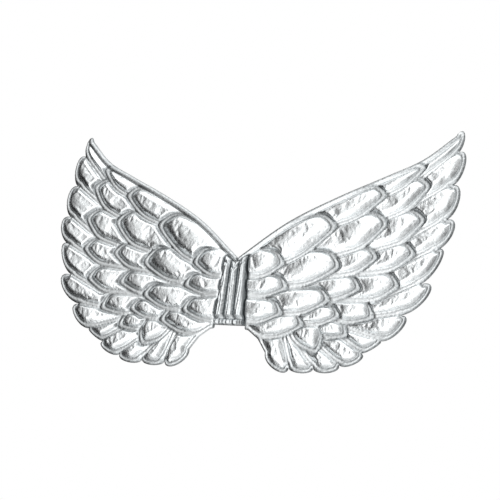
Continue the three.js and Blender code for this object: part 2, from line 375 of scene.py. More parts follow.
def flight_depths(number, x, z):
    """The same for a flight feather, whose end follows its own stretch of the rim."""
    flight = flights[number]
    _, along, across = along_and_across(flight, x, z)
    rim = lobes[number]
    open_sides = [along + ROOT_TUCK]
    upper_side = np.full(len(x), np.inf)
    if number == 0:
        rim = np.vstack([leading_edge, rim])
    else:
        notch_above = along_and_across(flight, *lobes[number - 1][-1])[2]
        upper_side = notch_above + UPPER_TUCK - across
    if number == len(flights) - 1:
        rim = np.vstack([rim, INNER_EDGE])
    else:
        notch_below = along_and_across(flight, *rim[-1])[2]
        open_sides.append(across - notch_below - STRIP_WIDTH)
    open_sides.append(distance_to(rim, x, z)[0] - STRIP_WIDTH)
    return with_strip(open_sides, upper_side, CORNER_SHARE * flight["width"])


# %% Steps, crowns and lines
CREASE_WIDTH = 1.2 * MM


def smooth(low, high, value):
    """A soft step from 0 at low to 1 at high."""
    share = np.clip((value - low) / (high - low), 0, 1)
    return share * share * (3 - 2 * share)


def rounded(share):
    """A quarter circle, from an edge at 0 to level at 1."""
    return np.sqrt(1 - (1 - np.clip(share, 0, 1)) ** 2)


def crowned(share):
    """A softer rise, from a slope at 0 to level at 1."""
    return 1 - (1 - np.clip(share, 0, 1)) ** 2


def bead(share):
    """A half circle, from 0 over its top at a half to 1."""
    return np.sqrt(np.clip(1 - (2 * share - 1) ** 2, 0, 1))


def crease_at(gap, width=CREASE_WIDTH):
    """A narrow line where a distance is nothing."""
    return np.exp(-((gap / width) ** 2))


# %% Fullness along a feather, and painted shade growing towards its tip
PAD_PEAK = 0.55
PAD_ROOT_DROP = 0.27
PAD_TIP_DROP = 0.45
ROOT_SHADE = 0.35
SHADE_GROWS_FROM = 0.2
SHADE_FULL_AT = 0.9


def dome(feather, x, z):
    """Fullness of a pad along its length."""
    length, along, _ = along_and_across(feather, x, z)
    share = np.clip(along / length, 0, 1)
    to_root = 1 - share / PAD_PEAK
    to_tip = (share - PAD_PEAK) / (1 - PAD_PEAK)
    at_root = PAD_ROOT_DROP * smooth(0, 1, to_root)
    return 1 - np.where(share < PAD_PEAK, at_root, PAD_TIP_DROP * to_tip**2)


def toward_tip(feather, x, z):
    """Painted shade in the grooves grows from faint at a feather's root to strong at its tip."""
    length, along, _ = along_and_across(feather, x, z)
    return ROOT_SHADE + (1 - ROOT_SHADE) * smooth(SHADE_GROWS_FROM, SHADE_FULL_AT, along / length)


# %% Relief of the feathers
PAD_LOW_RISE = 2.4 * MM
PAD_RISE_PER_WIDTH = 0.12
PAD_EDGE_SHARE = 0.55
STRIP_RISE = 0.9 * MM
STRIP_LEAST = 0.2 * MM
STRIP_SHADE = 0.38
GROOVE_LEVEL = 0.2 * MM
GROOVE_REACH = 3.5 * MM
PLAIN_RISE = 1 * MM
PRESS_FADE = 2 * MM
TIP_SHADE = 0.7


def feather_relief(x, z, from_rim):
    """Height of the cloth over the panel, where it is pressed down, and the painted shade of its grooves,
    both from 0 to 1.
    """
    relief = np.full(len(x), PLAIN_RISE)
    pressed = np.ones(len(x))
    wing_painted_shade = np.zeros(len(x))
    laid = [(covert, *covert_depths(covert, x, z, from_rim)) for covert in coverts]
    laid += [(flight, *flight_depths(i, x, z)) for i, flight in enumerate(flights)]
    for feather, depth, in_strip in reversed(laid):
        beyond = -in_strip
        rise = PAD_LOW_RISE + PAD_RISE_PER_WIDTH * feather["width"]
        full = dome(feather, x, z) * crowned(depth / (PAD_EDGE_SHARE * feather["width"] / 2))
        strip_width = np.maximum(in_strip - depth, STRIP_LEAST)
        strip = STRIP_RISE * np.minimum(strip_width / STRIP_WIDTH, 1) * bead(-depth / strip_width)
        beside = (relief - GROOVE_LEVEL) * crowned(beyond / GROOVE_REACH)
        on_strip = np.where(beyond < 0, strip, beside)
        relief = GROOVE_LEVEL + np.where(depth > 0, rise * full, on_strip)
        near = np.maximum(pressed, 1 - smooth(0, PRESS_FADE, beyond))
        pressed = np.where(depth > 0, 1 - smooth(0, PRESS_FADE, depth), near)
        # Painted shade: each pad's edges and the groove beyond its tip are darkened, more strongly towards
        # the tip, and its pressed strip is painted grey.
        tipness = toward_tip(feather, x, z)
        shade_width = CREASE_WIDTH * (1 + TIP_SHADE * tipness)
        line = tipness * np.maximum(crease_at(depth), crease_at(beyond, shade_width))
        strip_shade = STRIP_SHADE * tipness * smooth(0, CREASE_WIDTH, -depth) * (beyond < 0)
        line = np.maximum(line, strip_shade)
        wing_painted_shade = np.where(beyond < 0, line, np.maximum(wing_painted_shade, line))
    return relief, pressed, wing_painted_shade


places = points_of(right_wing)
wing_x, wing_z = places[:, 0], places[:, 2]
from_rim, _ = distance_to(wing_edge, wing_x, wing_z)
relief, pressed, wing_painted_shade = feather_relief(wing_x, wing_z, from_rim)
print("highest feather", round(relief.max() / MM, 1), "mm")

# %% [markdown]
# Round the wing the layers are pressed into a thin rim with a rounded edge. Along the leading edge runs a
# narrow roll, and beside the band the cloth turns down into the seam. A bevel needs edges that follow the
# outline, which a square grid lacks, so each of these is a height by the distance from its edge.

# %% Rim and leading edge
PANEL_THICKNESS = 2.4 * MM
PAD_END = 6 * MM
ROLL_WIDTH = 5.5 * MM
ROLL_RISE = 1.7 * MM
ROLL_GROOVE_SHADE = 0.4
ROLL_EDGE_SHADE = 0.7
ROLL_SHADE_TO = 0.45 * ROLL_WIDTH
ROLL_UNSHADED_FROM = 0.65 * ROLL_WIDTH
SEAM_TURN = 4 * MM
SEAM_SHADE_WIDTH = 1.8 * MM
SEAM_SHARE = 0.06
EDGE_ROUND = 1.4 * MM
EDGE_LEAST = 0.25

from_leading, _ = distance_to(leading_edge, wing_x, wing_z)
from_seam, _ = distance_to(BAND_SEAM, wing_x, wing_z)
relief *= crowned((from_leading - ROLL_WIDTH) / PAD_END)
relief = np.maximum(relief, ROLL_RISE * bead(from_leading / ROLL_WIDTH))
relief *= SEAM_SHARE + (1 - SEAM_SHARE) * rounded(from_seam / SEAM_TURN)
pressed = np.maximum(pressed, 1 - smooth(0, PRESS_FADE, from_leading - ROLL_WIDTH))
pressed = np.maximum(pressed, 1 - smooth(0, PRESS_FADE, from_seam))
# Painted shade: the outer half of the leading roll, the groove behind the roll and the seam beside the band
# are darkened.
roll_edge_shade = ROLL_EDGE_SHADE * (1 - smooth(ROLL_SHADE_TO, ROLL_UNSHADED_FROM, from_leading))
wing_painted_shade = np.maximum(wing_painted_shade, ROLL_GROOVE_SHADE * crease_at(from_leading - ROLL_WIDTH))
wing_painted_shade = np.maximum(wing_painted_shade, roll_edge_shade)
wing_painted_shade = np.maximum(wing_painted_shade, crease_at(from_seam, SEAM_SHADE_WIDTH))
rim_fullness = np.maximum(rounded(from_rim / EDGE_ROUND), EDGE_LEAST)
seam_fullness = np.maximum(rounded(from_seam / EDGE_ROUND), EDGE_LEAST)
edge_fullness = np.minimum(rim_fullness, seam_fullness)
print("strip", STRIP_WIDTH / MM, "mm wide, roll", ROLL_RISE / MM, "mm high")

# %% [markdown]
# The worked-out heights become vertex weights, and a Displace modifier lifts the cloth by them. It is
# applied at once, because the simulation that comes next starts from the raised cloth.


# %% Raise the feathers
def raise_cloth(piece, heights):
    """Lifts each point off the panel, towards -Y, by weights and a Displace modifier."""
    group = piece.vertex_groups.new(name="rise")
    top = float(heights.max())
    for i, height in enumerate(heights):
        group.add([i], float(height) / top, "REPLACE")
    lift = piece.modifiers.new("rise", "DISPLACE")
    lift.vertex_group = group.name
    lift.direction = "Y"
    lift.mid_level = 0
    lift.strength = -top
    select_only(piece)
    bpy.ops.object.modifier_apply(modifier=lift.name)
    piece.vertex_groups.clear()


flat_wing = points_of(right_wing)
raise_cloth(right_wing, PANEL_THICKNESS / 2 * (1 + edge_fullness) + relief * edge_fullness)
print("raised", len(relief), "points")

# %% [markdown]
# The foam under the cloth pushes it out, and the cloth is a little too wide for the foam, so it crinkles.
# A short cloth simulation does both: pressure from inside, no gravity, the strips, grooves and rim pinned,
# and the cloth let out by less than one percent. Movement is capped so that the feathers keep their places.

# %% Swell the pads
SWELL_FRAMES = 20
SWELL_CAP = 1.3 * MM
SWELL_PRESSURE = 4
WING_LET_OUT = 0.007
CLOTH_POINT_MASS = 0.05


def swell(piece, pinned, let_out):
    """Lets the free cloth puff out and crinkle, and leaves the result in the mesh."""
    start = points_of(piece)
    group = piece.vertex_groups.new(name="pinned")
    for i in np.flatnonzero(pinned > 0):
        group.add([int(i)], float(pinned[i]), "REPLACE")
    cloth = piece.modifiers.new("swell", "CLOTH")
    cloth.settings.vertex_group_mass = group.name
    cloth.settings.mass = CLOTH_POINT_MASS
    cloth.settings.use_pressure = True
    cloth.settings.uniform_pressure_force = SWELL_PRESSURE
    cloth.settings.shrink_min = -let_out
    cloth.settings.effector_weights.gravity = 0
    cloth.collision_settings.use_collision = False
    cloth.point_cache.frame_end = SWELL_FRAMES
    for step in range(1, SWELL_FRAMES + 1):
        bpy.context.scene.frame_set(step)
    select_only(piece)
    bpy.ops.object.modifier_apply(modifier=cloth.name)
    piece.vertex_groups.clear()
    bpy.context.scene.frame_set(1)
    moved = points_of(piece) - start
    distance = np.linalg.norm(moved, axis=1)
    share = SWELL_CAP / np.maximum(distance, SWELL_CAP)
    set_points(piece, start + moved * share[:, None])
    print(piece.name, "moved up to", round(distance.max() / MM, 2), "mm, capped:", int((share < 1).sum()))


swell(right_wing, pressed, WING_LET_OUT)

# %% [markdown]
# The back cloth and the thickness come from Solidify, whose new points keep the order of the old ones, so
# the back can be laid flat by number. It shows the feathers only faintly, because the foam is pressed from
# the front. Last, the flat panel is bent as the real one stands: swept, cupped and twisted at its tip.

# %% Back cloth and bend
BACK_IMPRINT = 0.14
BEND_UNIT = 100 * MM
SWEEP = 4 * MM
SWEEP_EASE = 1.6 * MM
CUP = 4 * MM
TWIST = 3 * MM


def add_back(piece, flat, back_heights):
    """Closes a raised sheet with a back cloth over the flat one, at the given heights over Y = 0."""
    count = len(flat)
    wall = piece.modifiers.new("back", "SOLIDIFY")
    wall.thickness = PANEL_THICKNESS
    wall.offset = -1
    select_only(piece)
    bpy.ops.object.modifier_apply(modifier=wall.name)
    places = points_of(piece)
    places[count:] = flat
    places[count:, 1] = back_heights
    set_points(piece, places)


def bend(piece):
    """Stands a flat panel as it is worn."""
    places = points_of(piece)
    out = np.abs(places[:, 0]) / BEND_UNIT
    up = places[:, 2] / BEND_UNIT
    places[:, 1] += SWEEP * out - SWEEP_EASE * out**2 + CUP * up**2 + TWIST * out * up
    set_points(piece, places)


def keep_on_front(piece, name, front):
    """Keeps values of the front cloth's points as an attribute for the material."""
    values = np.zeros(len(piece.data.vertices), np.float32)
    values[: len(front)] = front
    piece.data.attributes.new(name, "FLOAT", "POINT").data.foreach_set("value", values)


back_heights = -PANEL_THICKNESS / 2 * (1 - rim_fullness) + BACK_IMPRINT * relief * rim_fullness
add_back(right_wing, flat_wing, back_heights)
bend(right_wing)
keep_on_front(right_wing, "pressed", pressed)
keep_on_front(right_wing, "painted_shade", wing_painted_shade)
select_only(right_wing)
bpy.ops.object.shade_smooth()
print("right wing", len(right_wing.data.polygons), "faces")

# %% [markdown]
# The left wing is pressed in the mirrored mould, so it is a mirrored copy with a mesh of its own. A
# negative scale turns faces inside out, so the normals are recalculated after it.


# %% Left wing
def mirrored(piece, name):
    """A copy on the other side, its faces turned outwards again."""
    select_only(piece)
    bpy.ops.object.duplicate()
    copy = bpy.context.object
    copy.name = name
    copy.scale.x = -1
    bpy.ops.object.transform_apply()
    bpy.ops.object.mode_set(mode="EDIT")
    bpy.ops.mesh.select_all(action="SELECT")
    bpy.ops.mesh.normals_make_consistent(inside=False)
    bpy.ops.object.mode_set(mode="OBJECT")
    return copy


left_wing = mirrored(right_wing, "left_wing_cloth")
print("left wing", len(left_wing.data.polygons), "faces")

# %% [markdown]
# The band is the same silver cloth, gathered into three upright ribs between a notched top and a rolled
# bottom hem. A sheet cut out of a square grid would have ragged sides here, so the grid's own columns are
# drawn along the slanting sides and its top row along the notch. Then it is raised, swelled and closed as
# the wings are.

# %% Sheet of the centre band
BAND_DROP = 33 * MM
BAND_NOTCH = 28.5 * MM
BAND_CORNER = 36.5 * MM
BAND_HALF_BOTTOM = 17.5 * MM
BAND_HALF_TOP = 13 * MM
BAND_COLUMNS = 72
BAND_ROWS = 120


def band_half_width(z):
    return BAND_HALF_BOTTOM + (BAND_HALF_TOP - BAND_HALF_BOTTOM) * (z + BAND_DROP) / (2 * BAND_DROP)


def band_sheet(name):
    """A flat grid that faces -Y, with each point's share across the band and its distance from the top."""
    bpy.ops.object.select_all(action="DESELECT")
    bpy.ops.mesh.primitive_grid_add(
        x_subdivisions=BAND_COLUMNS, y_subdivisions=BAND_ROWS, size=2, rotation=(math.pi / 2, 0, 0)
    )
    sheet = bpy.context.object
    sheet.name = name
    bpy.ops.object.transform_apply()
    places = points_of(sheet)
    # A grid of size 2 runs from -1 to 1.
    across, share = places[:, 0], (places[:, 2] + 1) / 2
    top = BAND_NOTCH + np.abs(across) * (BAND_CORNER - BAND_NOTCH)
    height = share * (top + BAND_DROP) - BAND_DROP
    set_points(sheet, np.column_stack([across * band_half_width(height), 0 * height, height]))
    print(name, "sheet:", len(sheet.data.polygons), "faces")
    return sheet, across, top - height


centre_band, across_band, from_top = band_sheet("centre_band_cloth")
flat_band = points_of(centre_band)
band_x, band_z = flat_band[:, 0], flat_band[:, 2]
from_bottom = band_z + BAND_DROP

# %% Ribs and streaks of the band
BAND_RIBS = 3
BAND_RIB_RISE = 5.4 * MM
STREAK_RISE = 0.4 * MM
STREAK_WIDTH = 2.9 * MM
STREAK_DRIFT = 17 * MM
STREAK_TURN = 5
STREAK_SWAY = 0.8
HEM_HEIGHT = 6 * MM
GATHER_REACH = 1.8 * HEM_HEIGHT
TOP_SHARE = 0.4
BOTTOM_SHARE = 0.25
PINCH_SPREAD = 1.5
PINCH_DEPTH = 0.3

# From -1 to 1 across each rib.
in_rib = (across_band + 1) * BAND_RIBS % 2 - 1
ribs = np.sqrt(np.clip(1 - in_rib**2, 0, 1))
sway = np.sin(band_z / STREAK_DRIFT + STREAK_TURN * across_band)
streaks = np.abs(np.cos(math.pi * band_x / STREAK_WIDTH + STREAK_SWAY * sway))
at_top = TOP_SHARE + (1 - TOP_SHARE) * smooth(0, HEM_HEIGHT, from_top)
gathered = smooth(HEM_HEIGHT, GATHER_REACH, from_bottom) * at_top
pinched = crease_at((from_top - HEM_HEIGHT) / PINCH_SPREAD)
band_relief = BAND_RIB_RISE * ribs + STREAK_RISE * streaks * ribs
band_relief = band_relief * (BOTTOM_SHARE + (1 - BOTTOM_SHARE) * gathered) * (1 - PINCH_DEPTH * pinched)
print("ribs", round(band_relief.max() / MM, 1), "mm high")

# %% Hem and edges of the band
BAND_BASE = 2.6 * MM
HEM_RISE = 3 * MM
PUCKER_WIDTH = 7.3 * MM
PUCKER_FINE_WIDTH = 4.1 * MM
PUCKER_FINE_SHARE = 0.7
PUCKER_SHIFT = 1
PUCKER_SHARE = 0.13

fine_puckers = np.cos(math.tau * band_x / PUCKER_FINE_WIDTH + PUCKER_SHIFT)
puckers = np.cos(math.tau * band_x / PUCKER_WIDTH) + PUCKER_FINE_SHARE * fine_puckers
hem = HEM_RISE * bead(from_bottom / HEM_HEIGHT) * (1 + PUCKER_SHARE * puckers)
band_relief = np.maximum(band_relief, hem)
from_end = np.minimum(from_top, from_bottom)
from_side = np.minimum(from_end, (1 - np.abs(across_band)) * band_half_width(band_z))
band_fullness = np.maximum(rounded(from_side / EDGE_ROUND), EDGE_LEAST)
raise_cloth(centre_band, (BAND_BASE + band_relief) * band_fullness)
print("hem", round(hem.max() / MM, 1), "mm high")

# %% Painted shade, swelling and back of the band
RIB_PINNED_TO = 0.75
RIB_SHADE_TO = 0.45
RIB_UNSHADED_FROM = 0.9
HEM_SHADE = 0.8
PINCH_SHADE = 0.7
STREAK_SHADE = 0.5
STREAK_UNSHADED_FROM = 0.5
STREAK_SHADE_TO = 0.1
BAND_LET_OUT = 0.005
BACK_HOLLOW = 0.3 * MM

band_pressed = np.maximum(1 - smooth(0, RIB_PINNED_TO, ribs), 1 - smooth(0, PRESS_FADE, from_side))
# Painted shade: the grooves between the ribs, the line above the hem, the pinch under the top and the
# hollows between the streaks are darkened.
rib_groove_shade = 1 - smooth(RIB_SHADE_TO, RIB_UNSHADED_FROM, ribs)
band_painted_shade = np.maximum(rib_groove_shade, HEM_SHADE * crease_at(from_bottom - HEM_HEIGHT))
band_painted_shade = np.maximum(band_painted_shade, PINCH_SHADE * pinched)
streak_shade = STREAK_SHADE * smooth(STREAK_UNSHADED_FROM, STREAK_SHADE_TO, streaks)
band_painted_shade = np.maximum(band_painted_shade, streak_shade)
swell(centre_band, band_pressed, BAND_LET_OUT)
add_back(centre_band, flat_band, -BACK_HOLLOW * (1 - band_fullness))
keep_on_front(centre_band, "pressed", band_pressed)
keep_on_front(centre_band, "painted_shade", band_painted_shade)
select_only(centre_band)
bpy.ops.object.shade_smooth()
print("band", len(centre_band.data.polygons), "faces")

# %% [markdown]
# Each arm loop is a flat ribbon of white knitted elastic, ribbed lengthwise, sewn to the back of the band
# at both ends. A narrow grid is laid along a smooth route and thickened: webbing this thin would be lost
# in a simulation.

# %% Right arm loop
STRAP_ROUTE = np.array(
    [
        (6.4, 0.9, 6),
        (6.4, 0.9, 16),
        (11, 3.4, 24),
        (29, 14, 37),
        (51, 38, 49),
        (67, 68, 53),
        (76, 97, 44),
        (79, 111, 23),
        (77, 104, 1),
        (69, 82, -14.5),
        (50, 48, -22.5),
        (27, 17, -26),
        (13, 4.2, -23.5),
        (8, 0.9, -15),
        (8, 0.9, -4),
    ]
) * MM
STRAP_WIDTH = 10 * MM
STRAP_THICKNESS = 1.2 * MM
STRAP_ROWS = 300
STRAP_COLUMNS = 24
STRAP_RIBS = 6
STRAP_RIB_RISE = 0.16 * MM
STRAP_SHARP_EDGE = math.radians(50)
SIDEWAYS = np.array([1.0, 0, 0])


def along_route(route, count):
    """Evenly spaced places along a spline, the way it heads at each, and its length."""
    line = spline_through(route, CURVE_STEPS)
    travel = np.r_[0, np.cumsum(np.linalg.norm(np.diff(line, axis=0), axis=1))]
    steps = np.linspace(0, travel[-1], count)
    even = np.column_stack([np.interp(steps, travel, line[:, i]) for i in range(3)])
    heading = np.gradient(even, axis=0)
    return even, heading / np.linalg.norm(heading, axis=1)[:, None], travel[-1]


def ribbon(name, route):
    """A ribbed flat ribbon along a route, its width kept as near to sideways as the route allows."""
    bpy.ops.object.select_all(action="DESELECT")
    bpy.ops.mesh.primitive_grid_add(x_subdivisions=STRAP_COLUMNS, y_subdivisions=STRAP_ROWS, size=1)
    strap = bpy.context.object
    strap.name = name
    flat = points_of(strap)
    centre, heading, length = along_route(route, STRAP_ROWS + 1)
    # A grid of size 1 runs from -0.5 to 0.5.
    row = np.rint((flat[:, 1] + 0.5) * STRAP_ROWS).astype(int)
    wide = SIDEWAYS - heading * heading[:, :1]
    wide /= np.linalg.norm(wide, axis=1)[:, None]
    thick = np.cross(heading, wide)
    ridge = STRAP_RIB_RISE * np.cos(math.tau * STRAP_RIBS * flat[:, 0])
    places = centre[row] + wide[row] * flat[:, :1] * STRAP_WIDTH + thick[row] * ridge[:, None]
    set_points(strap, places)
    wall = strap.modifiers.new("thickness", "SOLIDIFY")
    wall.thickness = STRAP_THICKNESS - 2 * STRAP_RIB_RISE
    wall.offset = 0
    bpy.ops.object.modifier_apply(modifier=wall.name)
    bpy.ops.object.shade_smooth_by_angle(angle=STRAP_SHARP_EDGE)
    print(name, round(length / MM), "mm long")
    return strap, length


right_strap, strap_length = ribbon("right_strap_elastic", STRAP_ROUTE)

# %% [markdown]
# Two rows of thread hold each end of a loop to the band. A stitch this small shows only as a grain, so a
# ball is drawn out into one grain, and the rest are copies of it. They are joined to the loop, because
# they are sewn through it.

# %% Stitches and left arm loop
STITCH_LENGTH = 1.9 * MM
STITCH_THICKNESS = 0.5 * MM
STITCH_SIDES = 10
STITCH_RINGS = 6
STITCHES_IN_ROW = 4
STITCH_PITCH = 2.3 * MM
STITCH_ROWS = ((6.4, 8), (6.4, 13), (8, -6), (8, -11))
STITCH_FACE = STRAP_ROUTE[0][1] + STRAP_THICKNESS / 2


def one_stitch():
    """A grain of thread at the origin, which lies along X."""
    bpy.ops.object.select_all(action="DESELECT")
    bpy.ops.mesh.primitive_uv_sphere_add(
        segments=STITCH_SIDES, ring_count=STITCH_RINGS, radius=STITCH_THICKNESS / 2
    )
    grain = bpy.context.object
    grain.scale.x = STITCH_LENGTH / STITCH_THICKNESS
    bpy.ops.object.transform_apply()
    bpy.ops.object.shade_smooth()
    return grain


def copied_to(piece, x, y, z):
    """A copy with a mesh of its own, moved to a place."""
    select_only(piece)
    bpy.ops.object.duplicate()
    copy = bpy.context.object
    copy.location = (x, y, z)
    bpy.ops.object.transform_apply()
    return copy


pattern = one_stitch()
stitches = []
for row_x, row_z in STITCH_ROWS:
    for i in range(STITCHES_IN_ROW):
        from_middle = (i - (STITCHES_IN_ROW - 1) / 2) * STITCH_PITCH
        stitches.append(copied_to(pattern, row_x * MM + from_middle, STITCH_FACE, row_z * MM))
select_only(pattern)
bpy.ops.object.delete()
select_only(right_strap)
for grain in stitches:
    grain.select_set(True)
bpy.ops.object.join()
left_strap = mirrored(right_strap, "left_strap_elastic")
print("stitches in a loop:", len(stitches))

# %% [markdown]
# Silver cloth is a film of metal on a fine weave. It mirrors the studio softly, and its crumple breaks the
# mirror up into light and dark flecks. Crumple and weave are node groups, built once and placed in each
# material with its own numbers: they put out heights and shades, and the shader stays in the material.


# %% Helpers for node groups
FLOAT, VECTOR = "NodeSocketFloat", "NodeSocketVector"


def new_group(name, inputs, outputs):
    group = bpy.data.node_groups.new(name, "ShaderNodeTree")
    for label, kind in inputs:
        group.interface.new_socket(label, in_out="INPUT", socket_type=kind)
    for label in outputs:
        group.interface.new_socket(label, in_out="OUTPUT", socket_type=FLOAT)
    return group, group.nodes.new("NodeGroupInput").outputs, group.nodes.new("NodeGroupOutput").inputs


def calculate(tree, operation, first, second=0):
    """A Math node fed by sockets or plain numbers."""
    node = tree.nodes.new("ShaderNodeMath")
    node.operation = operation
    for socket, value in zip(node.inputs, (first, second)):
        if isinstance(value, (int, float)):
            socket.default_value = value
        else:
            tree.links.new(value, socket)
    return node.outputs[0]


def noise_of(tree, place, scale, detail):
    node = tree.nodes.new("ShaderNodeTexNoise")
    node.inputs["Detail"].default_value = detail
    tree.links.new(place, node.inputs["Vector"])
    tree.links.new(scale, node.inputs["Scale"])
    return node.outputs[0]


# %% Crumple group
BROAD_DETAIL = 2
FINE_DETAIL = 3
FINE_SCALE = 2.7
NOISE_MIDDLE = 0.5
RIDGE_HEIGHT = 2.4
FLECK_HEIGHT = 0.5

crumple, asked, given = new_group(
    "foil_crumple", [("Place", VECTOR), ("Crumple Scale", FLOAT)], ["Height", "Dullness"]
)
broad = noise_of(crumple, asked["Place"], asked["Crumple Scale"], BROAD_DETAIL)
creased = calculate(crumple, "ABSOLUTE", calculate(crumple, "SUBTRACT", broad, NOISE_MIDDLE))
fine_scale = calculate(crumple, "MULTIPLY", asked["Crumple Scale"], FINE_SCALE)
fine = noise_of(crumple, asked["Place"], fine_scale, FINE_DETAIL)
ridges = calculate(crumple, "MULTIPLY", creased, RIDGE_HEIGHT)
flecks = calculate(crumple, "MULTIPLY", fine, FLECK_HEIGHT)
crumple.links.new(calculate(crumple, "ADD", ridges, flecks), given["Height"])
crumple.links.new(fine, given["Dullness"])
print("group", crumple.name)

# %% Weave group
WAVE_HEIGHT = 0.5

weave, asked, given = new_group("thread_weave", [("Place", VECTOR), ("Thread Scale", FLOAT)], ["Height"])
axes = weave.nodes.new("ShaderNodeSeparateXYZ")
weave.links.new(asked["Place"], axes.inputs[0])
waves = []
for axis in ("X", "Y", "Z"):
    turns = calculate(weave, "MULTIPLY", axes.outputs[axis], asked["Thread Scale"])
    wave = calculate(weave, "COSINE", calculate(weave, "MULTIPLY", turns, math.tau))
    waves.append(calculate(weave, "MULTIPLY", wave, WAVE_HEIGHT))
both = calculate(weave, "ADD", waves[0], waves[1])
weave.links.new(calculate(weave, "ADD", both, waves[2]), given["Height"])
print("group", weave.name)


# %% Helpers for materials
def material_with(name, base, metallic, roughness):
    material = bpy.data.materials.new(name)
    material.use_nodes = True
    shader = material.node_tree.nodes["Principled BSDF"]
    shader.inputs["Base Color"].default_value = (*base, 1)
    shader.inputs["Metallic"].default_value = metallic
    shader.inputs["Roughness"].default_value = roughness
    return material, material.node_tree, shader


def placed_group(tree, group, place, **values):
    """A group in a material, with its own numbers."""
    node = tree.nodes.new("ShaderNodeGroup")
    node.node_tree = group
    tree.links.new(place, node.inputs["Place"])
    for label, value in values.items():
        node.inputs[label.replace("_", " ").title()].default_value = value
    return node.outputs


def attribute_of(tree, name):
    node = tree.nodes.new("ShaderNodeAttribute")
    node.attribute_name = name
    return node.outputs["Fac"]


def spread_between(tree, value, start, end, low, high):
    """The value, spread from the range between start and end to the one between low and high."""
    node = tree.nodes.new("ShaderNodeMapRange")
    tree.links.new(value, node.inputs["Value"])
    for label, number in (("From Min", start), ("From Max", end), ("To Min", low), ("To Max", high)):
        node.inputs[label].default_value = number
    return node.outputs["Result"]


def colour_between(tree, share, first, second):
    node = tree.nodes.new("ShaderNodeMix")
    node.data_type = "RGBA"
    tree.links.new(share, node.inputs["Factor"])
    colour_sockets = [socket for socket in node.inputs if socket.type == "RGBA"]
    for socket, colour in zip(colour_sockets, (first, second)):
        socket.default_value = (*colour, 1)
    return next(socket for socket in node.outputs if socket.type == "RGBA")


def bumped(tree, height, strength, distance, under=None):
    node = tree.nodes.new("ShaderNodeBump")
    node.inputs["Strength"].default_value = strength
    node.inputs["Distance"].default_value = distance
    tree.links.new(height, node.inputs["Height"])
    if under is not None:
        tree.links.new(under, node.inputs["Normal"])
    return node.outputs["Normal"]


# %% Silver cloth
WING_SILVER = (0.862, 0.887, 0.895)
# Painted shade: the band's silver is the same cloth as the wings' with a darker base colour.
BAND_SILVER_SHADED = (0.692, 0.719, 0.73)
# Painted shade: the dark grey that the grooves and lines are painted.
CREASE_SHADE_GREY = (0.228, 0.246, 0.254)
WING_ROUGHNESS = 0.29
BAND_ROUGHNESS = 0.3
CRUMPLE_SIZE = 5 * MM
WING_CRUMPLE_DEPTH = 0.3 * MM
BAND_CRUMPLE_DEPTH = 0.35 * MM
CRUMPLE_BUMP = 0.65
THREAD_PITCH = 0.55 * MM
THREAD_DEPTH = 0.02 * MM
THREAD_BUMP = 0.25
BRIGHT_FLECK = 0.3
DULL_FLECK = 0.7
GREY_FLECK = 0.6
LEAST_GREY = 0.65
BRIGHTEST = -0.07
DULLEST = 0.09
PRESSED_DULLNESS = 0.06


def silver_cloth(name, base, roughness, crumple_depth):
    """Metal film on cloth: crumpled and woven, painted grey as shade in its grooves, and duller where it is
    pressed.
    """
    material, tree, shader = material_with(name, base, metallic=1.0, roughness=roughness)
    place = tree.nodes.new("ShaderNodeTexCoord").outputs["Object"]
    foil = placed_group(tree, crumple, place, crumple_scale=1 / CRUMPLE_SIZE)
    cloth = placed_group(tree, weave, place, thread_scale=1 / THREAD_PITCH)
    # Painted shade: the base colour greys in the grooves, lines and rolled edge marked on the points,
    # broken up by the crumple's flecks.
    broken = spread_between(tree, foil["Dullness"], BRIGHT_FLECK, GREY_FLECK, LEAST_GREY, 1)
    shade_share = calculate(tree, "MULTIPLY", attribute_of(tree, "painted_shade"), broken)
    tree.links.new(colour_between(tree, shade_share, base, CREASE_SHADE_GREY), shader.inputs["Base Color"])
    flecked = spread_between(
        tree, foil["Dullness"], BRIGHT_FLECK, DULL_FLECK, roughness + BRIGHTEST, roughness + DULLEST
    )
    pressed_dull = calculate(tree, "MULTIPLY", attribute_of(tree, "pressed"), PRESSED_DULLNESS)
    tree.links.new(calculate(tree, "ADD", flecked, pressed_dull), shader.inputs["Roughness"])
    threads = bumped(tree, cloth["Height"], THREAD_BUMP, THREAD_DEPTH)
    crumpled = bumped(tree, foil["Height"], CRUMPLE_BUMP, crumple_depth, threads)
    tree.links.new(crumpled, shader.inputs["Normal"])
    return material


silver = silver_cloth("silver_cloth", WING_SILVER, WING_ROUGHNESS, WING_CRUMPLE_DEPTH)
# Painted shade: the band gets a darker copy of the silver cloth.
band_silver_shaded = silver_cloth("silver_band", BAND_SILVER_SHADED, BAND_ROUGHNESS, BAND_CRUMPLE_DEPTH)
print("materials", silver.name, "and", band_silver_shaded.name)

# %% [markdown]
# The arm loops are matt white knitted elastic. Its threads run along and across the ribbon, so the pattern
# follows the ribbon's own UV map, scaled to its real width and length. The hollows between the threads are
# painted a little greyer, as shade.

# %% White elastic
ELASTIC_PITCH = 1.1 * MM
ELASTIC_WHITE = (0.86, 0.86, 0.85)
# Painted shade: the grey of the hollows between the threads.
ELASTIC_HOLLOW_SHADE = (0.66, 0.66, 0.65)
ELASTIC_TOP = (0.9, 0.9, 0.89)
KNIT_LOW = -0.5
KNIT_WHITE_FROM = 1.0
KNIT_HIGH = 1.5
HOLLOW_ROUGHNESS = 0.88
MEAN_ROUGHNESS = 0.8
TOP_ROUGHNESS = 0.7
KNIT_BUMP = 0.6
KNIT_DEPTH = 0.15 * MM
ELASTIC_SHEEN = 0.25


